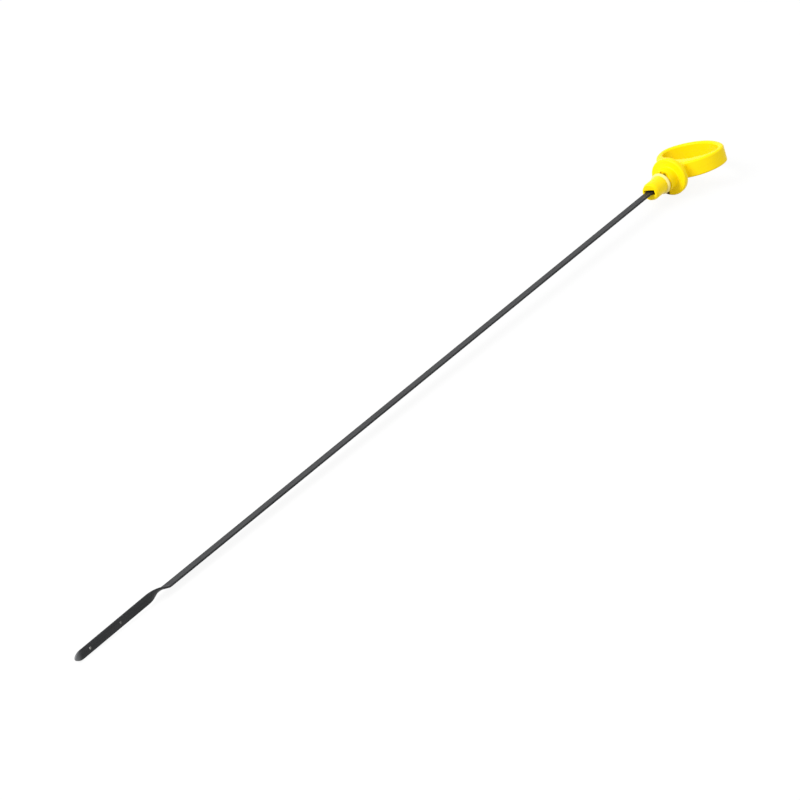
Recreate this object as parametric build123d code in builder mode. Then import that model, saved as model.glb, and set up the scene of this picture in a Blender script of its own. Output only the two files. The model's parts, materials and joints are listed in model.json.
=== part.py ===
from build123d import *
import os
from math import asin, atan2, cos, degrees, hypot, sin

# Oil dipstick: a moulded finger-ring handle with a plug, a seal ring in its groove,
# and a flat steel gauge strip that is twisted a quarter turn into a blade.
# It is drawn along +X from the blade's tip to the ring, with the ring flat in XY,
# and then laid on the ground as it comes to rest.

# Gauge strip
free_length = 625.0  # blade tip to the end of the plug
strip_width = 5.4
strip_thickness = 1.2
strip_edge_radius = 0.25
insert_depth = 18.0  # length of strip that is moulded into the plug

# Blade: the strip's last stretch, pressed a little wider and turned on edge
blade_length = 69.5
blade_width = 5.6
blade_thickness = 1.1
tip_length = 7.0  # the bullet-shaped end
twist_length = 20.0
twist_angle = 90.0
twist_sections = 12
blade_lift = 1.25  # how far the blade's root stands off the strip's line
tip_lift = 0.6  # what is left of it at the tip, because the blade leans back

# Level marks: two holes through the blade
level_hole_diameter = 1.5
low_hole_from_tip = 13.5
level_hole_spacing = 29.6

# Plug: the nose that goes into the dipstick tube
nose_radius = 5.6
nose_length = 12.7  # end of the plug to the seal's groove
nose_tip_radius = 4.9
nose_taper_length = 2.0
recess_width = 7.4
recess_height = 3.2
recess_depth = 5.0
recess_corner_radius = 0.5

# Seal ring and its groove
seal_cord_diameter = 2.2
groove_radius = 4.5
seal_clearance = 0.1  # round the inside of the seal and on its front side
groove_slack = 0.9  # open gap behind the seal
relief_width = 5.6
relief_length = 1.3
relief_floor = 3.2  # height of a relief's floor above the plug's axis
relief_turn = 27.0  # the reliefs' turn about that axis, from the ring's normal

# Hub and collar
hub_radius = 6.9
hub_length = 7.5
hub_fillet = 0.7
collar_radius = 12.0
collar_thickness = 4.2
collar_edge_radius = 1.1

# Finger ring and the neck that carries it
neck_length = 4.8
neck_width = 16.0
neck_height = 9.2
neck_edge_radius = 1.5
ring_width = 44.6
ring_reach = 15.2  # widest point to the far end; the near half is a half circle
ring_height = 10.6
ring_edge_radius = 1.3
near_wall = 8.2
far_wall = 3.3
side_wall = 3.3

# Stations along the dipstick
twist_end = blade_length + twist_length
twist_middle = blade_length + twist_length / 2
plug_end = free_length
groove_front = plug_end + nose_length
groove_back = groove_front + seal_clearance + seal_cord_diameter + groove_slack
collar_front = groove_back + hub_length
collar_back = collar_front + collar_thickness
ring_near = collar_back + neck_length
ring_middle = ring_near + ring_width / 2
ring_far = ring_middle + ring_reach
opening_length = ring_far - ring_near - near_wall - far_wall
opening_width = ring_width - 2 * side_wall
opening_middle = ring_near + near_wall + opening_length / 2


def lift_at(x):
    # The blade leans, and its lift fades out smoothly in the second half of the twist.
    lean = tip_lift + (blade_lift - tip_lift) * x / blade_length
    fade = max(x - twist_middle, 0) / (twist_end - twist_middle)
    return lean * (1 - fade * fade * (3 - 2 * fade))


def strip_section(width, thickness, turn=0, lift=0):
    # Cross-section of the strip, with rolled edges, turned about the strip's line.
    with Locations((0, lift)):
        RectangleRounded(width, thickness, strip_edge_radius, rotation=turn)


with BuildPart() as gauge_strip:
    # Blade, with its tip trimmed to a bullet shape
    for x in (0, blade_length):
        with BuildSketch(Plane.YZ.offset(x)):
            strip_section(blade_width, blade_thickness, -twist_angle, lift_at(x))
    loft()
    with BuildSketch(Plane.XZ):
        with Locations((tip_length, lift_at(tip_length))):
            Ellipse(tip_length, blade_width / 2)
            Rectangle(blade_length, 2 * blade_width, align=(Align.MIN, Align.CENTER))
    extrude(amount=blade_width, both=True, mode=Mode.INTERSECT)
    # Level-mark holes
    low_hole = low_hole_from_tip
    high_hole = low_hole_from_tip + level_hole_spacing
    with BuildSketch(Plane.XZ):
        with Locations((low_hole, lift_at(low_hole)), (high_hole, lift_at(high_hole))):
            Circle(level_hole_diameter / 2)
    extrude(amount=blade_thickness, both=True, mode=Mode.SUBTRACT)
    # Quarter-turn twist, where the section eases to the strip's
    for k in range(twist_sections):
        along = k / (twist_sections - 1)
        ease = 1 - along * along * (3 - 2 * along)
        x = blade_length + along * twist_length
        with BuildSketch(Plane.YZ.offset(x)):
            strip_section(
                strip_width + (blade_width - strip_width) * ease,
                strip_thickness + (blade_thickness - strip_thickness) * ease,
                -twist_angle * ease,
                lift_at(x),
            )
    loft()
    # Straight strip, on into the plug
    with BuildSketch(Plane.YZ.offset(twist_end)):
        strip_section(strip_width, strip_thickness)
    extrude(amount=plug_end + insert_depth - twist_end)


def half_oval(middle, reach, half_width):
    # Three tangent arcs: a flat one across the axis between two tighter ones at the sides.
    a = abs(reach)
    end_radius = a * a / half_width
    side_radius = half_width * (a + half_width) / (2 * a)
    join_x = middle + reach / a * end_radius * (side_radius - a) / (side_radius - end_radius)
    join_y = side_radius * (half_width - end_radius) / (side_radius - end_radius)
    TangentArc((middle, -half_width), (join_x, -join_y), tangent=(reach, 0))
    ThreePointArc((join_x, -join_y), (middle + reach, 0), (join_x, join_y))
    TangentArc((middle, half_width), (join_x, join_y), tangent=(reach, 0))


def rim(part, radius, x):
    # The round edge of a turned form with this radius at this station.
    circles = part.edges().filter_by(GeomType.CIRCLE)
    return circles.filter_by(
        lambda edge: abs(edge.radius - radius) < 1e-3 and abs(edge.arc_center.X - x) < 1e-3
    )


with BuildPart() as handle:
    # Finger ring: a band with softly rounded rims, round on the near side and flatter on the far one
    with BuildSketch(Plane.XY.offset(-ring_height / 2)):
        with BuildLine():
            half_oval(ring_middle, ring_reach, ring_width / 2)
            ThreePointArc(
                (ring_middle, ring_width / 2), (ring_near, 0), (ring_middle, -ring_width / 2)
            )
        make_face()
        with BuildLine():
            half_oval(opening_middle, opening_length / 2, opening_width / 2)
            half_oval(opening_middle, -opening_length / 2, opening_width / 2)
        make_face(mode=Mode.SUBTRACT)
    extrude(amount=ring_height)
    fillet(handle.faces().filter_by(Axis.Z).edges(), ring_edge_radius)
    # Neck, from the collar into the ring's thick near wall
    with BuildSketch(Plane.YZ.offset(collar_back)):
        RectangleRounded(neck_width, neck_height, neck_edge_radius)
    extrude(amount=neck_length + near_wall / 2)
    # Plug, groove, hub and collar as one turned form
    with BuildSketch():
        with BuildLine():
            Polyline(
                (plug_end, 0),
                (plug_end, nose_tip_radius),
                (plug_end + nose_taper_length, nose_radius),
                (groove_front, nose_radius),
                (groove_front, groove_radius),
                (groove_back, groove_radius),
                (groove_back, hub_radius),
                (collar_front, hub_radius),
                (collar_front, collar_radius),
                (collar_back, collar_radius),
                (collar_back, 0),
                close=True,
            )
        make_face()
    revolve(axis=Axis.X)
    fillet(rim(handle, hub_radius, collar_front), hub_fillet)
    fillet(rim(handle, collar_radius, collar_front), collar_edge_radius)
    fillet(rim(handle, collar_radius, collar_back), collar_edge_radius)
    # Recess in the plug's end, with the blind slot that the strip fills
    with BuildSketch(Plane.YZ.offset(plug_end)):
        RectangleRounded(recess_width, recess_height, recess_corner_radius)
    extrude(amount=recess_depth, mode=Mode.SUBTRACT)
    with BuildSketch(Plane.YZ.offset(plug_end)):
        strip_section(strip_width, strip_thickness)
    extrude(amount=insert_depth, mode=Mode.SUBTRACT)
    # Moulding reliefs in the groove's back shoulder, on opposite sides
    for turn in (relief_turn, relief_turn + 180):
        with BuildSketch(Plane.XY.rotated((turn, 0, 0)).offset(relief_floor)):
            with Locations((groove_back, 0)):
                Rectangle(relief_length, relief_width, align=(Align.MIN, Align.CENTER))
        extrude(amount=hub_radius, mode=Mode.SUBTRACT)

with BuildPart() as seal_ring:
    with BuildSketch():
        with Locations(
            (
                groove_front + seal_clearance + seal_cord_diameter / 2,
                groove_radius + seal_clearance + seal_cord_diameter / 2,
            )
        ):
            Circle(seal_cord_diameter / 2)
    revolve(axis=Axis.X)

# Rest: the collar's rim, one lower edge of the finger ring and the blade's tip touch.
# Roll and slope depend on each other a little, so they settle in a few turns.
ring_arm = ring_width / 2 - ring_edge_radius
ring_drop = ring_height / 2 - ring_edge_radius
roll = 0.0
for settle in range(4):
    tip_height = (blade_width / 2 - lift_at(tip_length)) * cos(roll) + blade_thickness / 2 * sin(roll)
    slope = (collar_radius - tip_height) / (collar_front + collar_edge_radius - tip_length)
    ring_axis_height = collar_radius + slope * (ring_middle - collar_front)
    roll = asin((ring_axis_height - ring_edge_radius) / hypot(ring_arm, ring_drop)) - atan2(ring_drop, ring_arm)

pieces = (gauge_strip, handle, seal_ring)
lying = Location((0, 0, 0), (0, -degrees(slope), 0)) * Location((0, 0, 0), (-degrees(roll), 0, 0))
for piece in pieces:
    piece.part.move(lying)
box = Compound(children=[Part(piece.part.wrapped) for piece in pieces]).bounding_box()
grounded = Location((-box.center().X, -box.center().Y, -box.min.Z))
for piece in pieces:
    piece.part.move(grounded)

os.makedirs("parts", exist_ok=True)
gauge_strip.part.label = "gauge_strip"
export_step(gauge_strip.part, "parts/gauge_strip.step")
handle.part.label = "handle"
export_step(handle.part, "parts/handle.step")
seal_ring.part.label = "seal_ring"
export_step(seal_ring.part, "parts/seal_ring.step")
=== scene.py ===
import json
import math

import bpy
from mathutils import Matrix, Quaternion, Vector


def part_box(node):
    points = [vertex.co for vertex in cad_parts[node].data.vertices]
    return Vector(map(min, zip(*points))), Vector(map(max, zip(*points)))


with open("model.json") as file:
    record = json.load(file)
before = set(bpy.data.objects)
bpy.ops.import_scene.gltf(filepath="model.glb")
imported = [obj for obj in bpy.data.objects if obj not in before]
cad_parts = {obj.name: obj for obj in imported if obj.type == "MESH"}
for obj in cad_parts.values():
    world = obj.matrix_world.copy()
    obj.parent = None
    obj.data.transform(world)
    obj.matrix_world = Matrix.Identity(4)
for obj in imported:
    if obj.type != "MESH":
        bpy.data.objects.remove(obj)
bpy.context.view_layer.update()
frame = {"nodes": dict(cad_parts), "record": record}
nodes = frame["nodes"]
print("frame loaded:", ", ".join(sorted(nodes)))

scene = bpy.context.scene
scene.view_settings.view_transform = "Standard"


# The stick's own axes, from the plug and the collar: X runs to the finger ring, Z stands on the ring's face.
mounts = {mount["name"]: mount for mount in frame["record"]["mounts"]}
plugMiddle = Vector(mounts["nose_plug"]["pos_m"])
alongStick = -Vector(mounts["nose_plug"]["axis"]).normalized()
toCollarFace = Vector(mounts["collar_stop"]["pos_m"]) - plugMiddle
offRing = (toCollarFace - alongStick * toCollarFace.dot(alongStick)).normalized()
acrossStick = offRing.cross(alongStick)
stickAxes = Matrix((alongStick, acrossStick, offRing)).transposed()
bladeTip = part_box("gauge_strip")[0]
tipStation = (bladeTip - plugMiddle).dot(alongStick) * 1000  # mm, from the plug's middle


def hexToLinear(text):
    # sRGB hex to linear: each channel by the sRGB curve, alpha 1.
    channels = [int(text[k:k + 2], 16) / 255 for k in (1, 3, 5)]
    return [c / 12.92 if c <= 0.04045 else ((c + 0.055) / 1.055) ** 2.4 for c in channels] + [1.0]


def addNode(tree, kind, inputs=(), **settings):
    node = tree.nodes.new(kind)
    for name, value in settings.items():
        setattr(node, name, value)
    for name, value in dict(inputs).items():
        if isinstance(value, bpy.types.NodeSocket):
            tree.links.new(value, node.inputs[name])
        else:
            node.inputs[name].default_value = value
    return node


def startMaterial(name):
    # A bare material, and its surface point in millimetres along the stick's own axes.
    material = bpy.data.materials.new(name)
    material.use_nodes = True
    tree = material.node_tree
    tree.nodes.clear()
    point = addNode(tree, "ShaderNodeTexCoord").outputs["Object"]
    stickPoint = addNode(tree, "ShaderNodeMapping", {
        "Vector": point,
        "Location": plugMiddle,
        "Rotation": stickAxes.to_euler("XYZ"),
        "Scale": (0.001, 0.001, 0.001),
    }, vector_type="TEXTURE")
    return material, tree, stickPoint.outputs["Vector"]


# Most of a noise pattern's values lie in this span.
noiseSpan = (0.3, 0.7)


def dress(node, material):
    nodes[node].data.materials.clear()
    nodes[node].data.materials.append(material)


# Yellow handle
handleFinish = {
    "pale": "#FFE307",
    "deep": "#FFD906",
    "flowWidth": 14.0,       # mm, soft clouds that the melt's flow leaves
    "grainWidth": 0.9,       # mm, the mould's spark-eroded grain, drawn coarser so that it shows
    "grainDepth": 0.012,     # mm
    "smoothest": 0.30,
    "roughest": 0.42,
    "refraction": 1.53,
    "mirror": 0.1,           # mirrored light, where 0.5 is all that the refraction gives
    "seamWidth": 0.35,       # mm, parting line round the moulding's middle
    "seamHeight": 0.05,      # mm
    # painted shade: a dark brown laid into the seal's reliefs and under the hub, where shade falls
    "paintedShadeTint": "#46300A",
    "paintedShadePlaces": (           # where the painted shade lies and how far it reaches, mm from the plug's middle
        ((8.6, -2.2, 4.3), 2.5),    # painted shade in the two reliefs behind the seal
        ((8.6, 2.2, -4.3), 2.5),
        ((16.0, 3.2, -10.0), 2.2),  # painted shade on the collar's low side, under the hub
    ),
    "paintedShadeCore": 0.3,          # share of that reach where the painted shade is full
}


def mouldedNylon(finish):
    # Injection-moulded nylon, dyed through: saturated yellow, a soft sheen with no sharp mirror image,
    # faint clouds of colour from the flow of the melt, and a thin parting line where the mould closed.
    material, tree, point = startMaterial("mouldedNylon")
    flow = addNode(tree, "ShaderNodeTexNoise", {
        "Vector": point, "Scale": 1 / finish["flowWidth"], "Detail": 3.0, "Roughness": 0.55,
    }).outputs["Fac"]
    colour = addNode(tree, "ShaderNodeMix", {
        "Factor": flow, "A": hexToLinear(finish["deep"]), "B": hexToLinear(finish["pale"]),
    }, data_type="RGBA").outputs[2]
    # Painted shade: a dark brown tint darkens the reliefs behind the seal and the collar's low side under
    # the hub, and fades out round each place.
    for place, reach in finish["paintedShadePlaces"]:
        fromPaintedShade = addNode(tree, "ShaderNodeVectorMath", {
            0: point, 1: place,
        }, operation="DISTANCE").outputs["Value"]
        paintedShade = addNode(tree, "ShaderNodeMapRange", {
            "Value": fromPaintedShade, "From Min": reach, "From Max": reach * finish["paintedShadeCore"],
        }, interpolation_type="SMOOTHSTEP").outputs["Result"]
        colour = addNode(tree, "ShaderNodeMix", {
            "Factor": paintedShade, "A": colour, "B": hexToLinear(finish["paintedShadeTint"]),
        }, data_type="RGBA").outputs[2]
    grain = addNode(tree, "ShaderNodeTexNoise", {
        "Vector": point, "Scale": 1 / finish["grainWidth"], "Detail": 2.0,
    }).outputs["Fac"]
    roughness = addNode(tree, "ShaderNodeMapRange", {
        "Value": grain, "From Min": noiseSpan[0], "From Max": noiseSpan[1],
        "To Min": finish["smoothest"], "To Max": finish["roughest"],
    }).outputs["Result"]
    height = addNode(tree, "ShaderNodeSeparateXYZ", {"Vector": point}).outputs["Z"]
    fromSeam = addNode(tree, "ShaderNodeMath", {0: height}, operation="ABSOLUTE").outputs["Value"]
    seam = addNode(tree, "ShaderNodeMapRange", {
        "Value": fromSeam, "From Min": finish["seamWidth"] / 2, "From Max": 0.0,
    }, interpolation_type="SMOOTHSTEP").outputs["Result"]
    grainBump = addNode(tree, "ShaderNodeBump", {
        "Height": grain, "Distance": finish["grainDepth"] / 1000, "Strength": 1.0,
    }).outputs["Normal"]
    seamBump = addNode(tree, "ShaderNodeBump", {
        "Height": seam, "Distance": finish["seamHeight"] / 1000, "Strength": 1.0, "Normal": grainBump,
    }).outputs["Normal"]
    shader = addNode(tree, "ShaderNodeBsdfPrincipled", {
        "Base Color": colour, "Roughness": roughness, "Normal": seamBump,
        "IOR": finish["refraction"], "Specular IOR Level": finish["mirror"],
    })
    addNode(tree, "ShaderNodeOutputMaterial", {"Surface": shader.outputs["BSDF"]})
    return material


dress("handle", mouldedNylon(handleFinish))
print("handle dressed")


# Gauge strip
stripFinish = {
    "coat": "#161719",
    "coatThin": "#28292B",
    "coatWiped": "#6A6B6D",
    "mottleWidth": 2.0,      # mm, blotches of the phosphate, drawn coarser so that they show
    "mottleDepth": 0.03,     # mm
    "streakLength": 40.0,    # mm, drag marks along the strip
    "streakWidth": 1.6,      # mm
    "thinSpan": (0.15, 0.38),  # blotches times drag marks, where the coat starts to thin and is thinnest
    "tipWear": 6.0,          # mm of the tip where wiping has thinned the coat
    "holes": (               # level marks: mm from the tip, mm above the stick's line, wall colour
        (13.5, 0.73, "#A3A29D"),
        (43.1, 1.0, "#6F6E6B"),  # dulled by oil
    ),
    "holeWidth": 1.5,        # mm
    "holeRim": 0.08,         # mm of bare steel round each hole
    "smoothest": 0.38,
    "roughest": 0.55,
    "mirror": 0.2,           # mirrored light, as on the handle
}


def phosphatedSteel(finish):
    # Rolled spring steel, black phosphated and oiled: almost black, with a low sheen that greys where
    # it faces the light, fine blotches, drag marks along its length, and bare metal in the drilled holes.
    material, tree, point = startMaterial("phosphatedSteel")
    mottle = addNode(tree, "ShaderNodeTexNoise", {
        "Vector": point, "Scale": 1 / finish["mottleWidth"], "Detail": 4.0, "Roughness": 0.6,
    }).outputs["Fac"]
    stretched = addNode(tree, "ShaderNodeMapping", {
        "Vector": point,
        "Scale": (1 / finish["streakLength"], 1 / finish["streakWidth"], 1 / finish["streakWidth"]),
    }).outputs["Vector"]
    streak = addNode(tree, "ShaderNodeTexNoise", {
        "Vector": stretched, "Scale": 1.0, "Detail": 3.0,
    }).outputs["Fac"]
    blotch = addNode(tree, "ShaderNodeMath", {0: mottle, 1: streak}, operation="MULTIPLY").outputs["Value"]
    thin = addNode(tree, "ShaderNodeMapRange", {
        "Value": blotch, "From Min": finish["thinSpan"][0], "From Max": finish["thinSpan"][1],
    }).outputs["Result"]
    coat = addNode(tree, "ShaderNodeMix", {
        "Factor": thin, "A": hexToLinear(finish["coat"]), "B": hexToLinear(finish["coatThin"]),
    }, data_type="RGBA").outputs[2]
    # Wiping has thinned the coat at the very tip.
    along = addNode(tree, "ShaderNodeSeparateXYZ", {"Vector": point}).outputs["X"]
    tipWear = addNode(tree, "ShaderNodeMapRange", {
        "Value": along, "From Min": tipStation + finish["tipWear"], "From Max": tipStation,
    }, interpolation_type="SMOOTHSTEP").outputs["Result"]
    colour = addNode(tree, "ShaderNodeMix", {
        "Factor": tipWear, "A": coat, "B": hexToLinear(finish["coatWiped"]),
    }, data_type="RGBA").outputs[2]
    # The holes were drilled after the coating, so their walls and rims are bare.
    for fromTip, lift, bareSteel in finish["holes"]:
        aside = addNode(tree, "ShaderNodeMapping", {
            "Vector": point, "Location": (-tipStation - fromTip, 0, -lift), "Scale": (1, 0, 1),
        }).outputs["Vector"]
        reach = addNode(tree, "ShaderNodeVectorMath", {0: aside}, operation="LENGTH").outputs["Value"]
        bare = addNode(tree, "ShaderNodeMapRange", {
            "Value": reach,
            "From Min": finish["holeWidth"] / 2 + finish["holeRim"],
            "From Max": finish["holeWidth"] / 2 + finish["holeRim"] / 2,
        }).outputs["Result"]
        colour = addNode(tree, "ShaderNodeMix", {
            "Factor": bare, "A": colour, "B": hexToLinear(bareSteel),
        }, data_type="RGBA").outputs[2]
    roughness = addNode(tree, "ShaderNodeMapRange", {
        "Value": mottle, "From Min": noiseSpan[0], "From Max": noiseSpan[1],
        "To Min": finish["smoothest"], "To Max": finish["roughest"],
    }).outputs["Result"]
    bump = addNode(tree, "ShaderNodeBump", {
        "Height": mottle, "Distance": finish["mottleDepth"] / 1000, "Strength": 1.0,
    }).outputs["Normal"]
    shader = addNode(tree, "ShaderNodeBsdfPrincipled", {
        "Base Color": colour, "Roughness": roughness, "Normal": bump,
        "Specular IOR Level": finish["mirror"],
    })
    addNode(tree, "ShaderNodeOutputMaterial", {"Surface": shader.outputs["BSDF"]})
    return material


dress("gauge_strip", phosphatedSteel(stripFinish))
print("gauge strip dressed")


# Seal ring
sealFinish = {
    "rubber": "#EBD77C",
    "rubberDusty": "#F3E596",
    "bloomWidth": 2.5,       # mm, pale bloom on the rubber
    "roughness": 0.55,
    "refraction": 1.41,
    "mirror": 0.3,           # mirrored light, as on the handle
}


def mouldedRubber(finish):
    # Compression-moulded silicone rubber: pale cream, soft edged highlights and a dusty bloom.
    material, tree, point = startMaterial("mouldedRubber")
    bloom = addNode(tree, "ShaderNodeTexNoise", {
        "Vector": point, "Scale": 1 / finish["bloomWidth"], "Detail": 3.0,
    }).outputs["Fac"]
    colour = addNode(tree, "ShaderNodeMix", {
        "Factor": bloom, "A": hexToLinear(finish["rubber"]), "B": hexToLinear(finish["rubberDusty"]),
    }, data_type="RGBA").outputs[2]
    shader = addNode(tree, "ShaderNodeBsdfPrincipled", {
        "Base Color": colour, "Roughness": finish["roughness"],
        "IOR": finish["refraction"], "Specular IOR Level": finish["mirror"],
    })
    addNode(tree, "ShaderNodeOutputMaterial", {"Surface": shader.outputs["BSDF"]})
    return material


dress("seal_ring", mouldedRubber(sealFinish))
print("seal ring dressed")


# Studio
studio = {
    "floorSize": 8.0,        # m
    "paperSeen": "#F4F4F4",
    "paperGlow": "#C8C8C8",  # what the floor sends back up; darker, so that undersides stay in shade
    "floorWhite": 0.9,       # share of plain white over the lit floor; the rest keeps the shadow
    "skyLevel": 0.8,
    "keyPlace": (-1.25, 0.75, 1.45),
    "keySize": 1.0,          # m
    "keyPower": 40.0,        # W
}


def seenWhite(tree):
    # 1 where the eye, a reflection or glass sees this surface, 0 where it only sends light.
    path = addNode(tree, "ShaderNodeLightPath").outputs
    eyeOrGloss = addNode(tree, "ShaderNodeMath", {
        0: path["Is Camera Ray"], 1: path["Is Glossy Ray"],
    }, operation="MAXIMUM").outputs["Value"]
    return addNode(tree, "ShaderNodeMath", {
        0: eyeOrGloss, 1: path["Is Transmission Ray"],
    }, operation="MAXIMUM").outputs["Value"]


def layFloor():
    half = studio["floorSize"] / 2
    mesh = bpy.data.meshes.new("floor")
    corners = [(-half, -half, 0), (half, -half, 0), (half, half, 0), (-half, half, 0)]
    mesh.from_pydata(corners, [], [(0, 1, 2, 3)])
    floor = bpy.data.objects.new("floor", mesh)
    scene.collection.objects.link(floor)
    material = bpy.data.materials.new("paperSweep")
    material.use_nodes = True
    tree = material.node_tree
    tree.nodes.clear()
    seen = seenWhite(tree)
    tone = addNode(tree, "ShaderNodeMix", {
        "Factor": seen, "A": hexToLinear(studio["paperGlow"]), "B": hexToLinear(studio["paperSeen"]),
    }, data_type="RGBA").outputs[2]
    paper = addNode(tree, "ShaderNodeBsdfDiffuse", {"Color": tone})
    white = addNode(tree, "ShaderNodeEmission", {"Color": (1, 1, 1, 1), "Strength": 1.0})
    share = addNode(tree, "ShaderNodeMath", {
        0: seen, 1: studio["floorWhite"],
    }, operation="MULTIPLY").outputs["Value"]
    both = addNode(tree, "ShaderNodeMixShader", {0: share, 1: paper.outputs[0], 2: white.outputs[0]})
    addNode(tree, "ShaderNodeOutputMaterial", {"Surface": both.outputs[0]})
    mesh.materials.append(material)


def lightSky():
    world = bpy.data.worlds.new("whiteRoom")
    scene.world = world
    world.use_nodes = True
    tree = world.node_tree
    tree.nodes.clear()
    light = addNode(tree, "ShaderNodeBackground", {"Color": (1, 1, 1, 1), "Strength": studio["skyLevel"]})
    white = addNode(tree, "ShaderNodeBackground", {"Color": (1, 1, 1, 1), "Strength": 1.0})
    both = addNode(tree, "ShaderNodeMixShader", {
        0: seenWhite(tree), 1: light.outputs[0], 2: white.outputs[0],
    })
    addNode(tree, "ShaderNodeOutputWorld", {"Surface": both.outputs[0]})


def hangKeyLamp():
    lamp = bpy.data.lights.new("keyLamp", "AREA")
    lamp.size = studio["keySize"]
    lamp.energy = studio["keyPower"]
    holder = bpy.data.objects.new("keyLamp", lamp)
    holder.location = studio["keyPlace"]
    holder.rotation_euler = (-Vector(studio["keyPlace"])).to_track_quat("-Z", "Y").to_euler()
    scene.collection.objects.link(holder)


layFloor()
lightSky()
hangKeyLamp()
print("studio lit")


# Camera, at the photograph's angle
eye = {
    "place": (-2.59635, -1.49466, 1.74669),  # m
    "aim": (-0.02584, -0.00633, 0.012),      # m
    "roll": 2.6816,                          # degrees
    "lens": 270.0,                           # mm
    "sensor": 36.0,                          # mm
}


def setCamera():
    camera = bpy.data.cameras.new("camera")
    camera.lens = eye["lens"]
    camera.sensor_width = eye["sensor"]
    holder = bpy.data.objects.new("camera", camera)
    holder.location = eye["place"]
    gaze = (Vector(eye["aim"]) - Vector(eye["place"])).to_track_quat("-Z", "Y")
    holder.rotation_mode = "QUATERNION"
    holder.rotation_quaternion = gaze @ Quaternion((0, 0, 1), math.radians(eye["roll"]))
    scene.collection.objects.link(holder)
    scene.camera = holder


setCamera()
print("camera set")
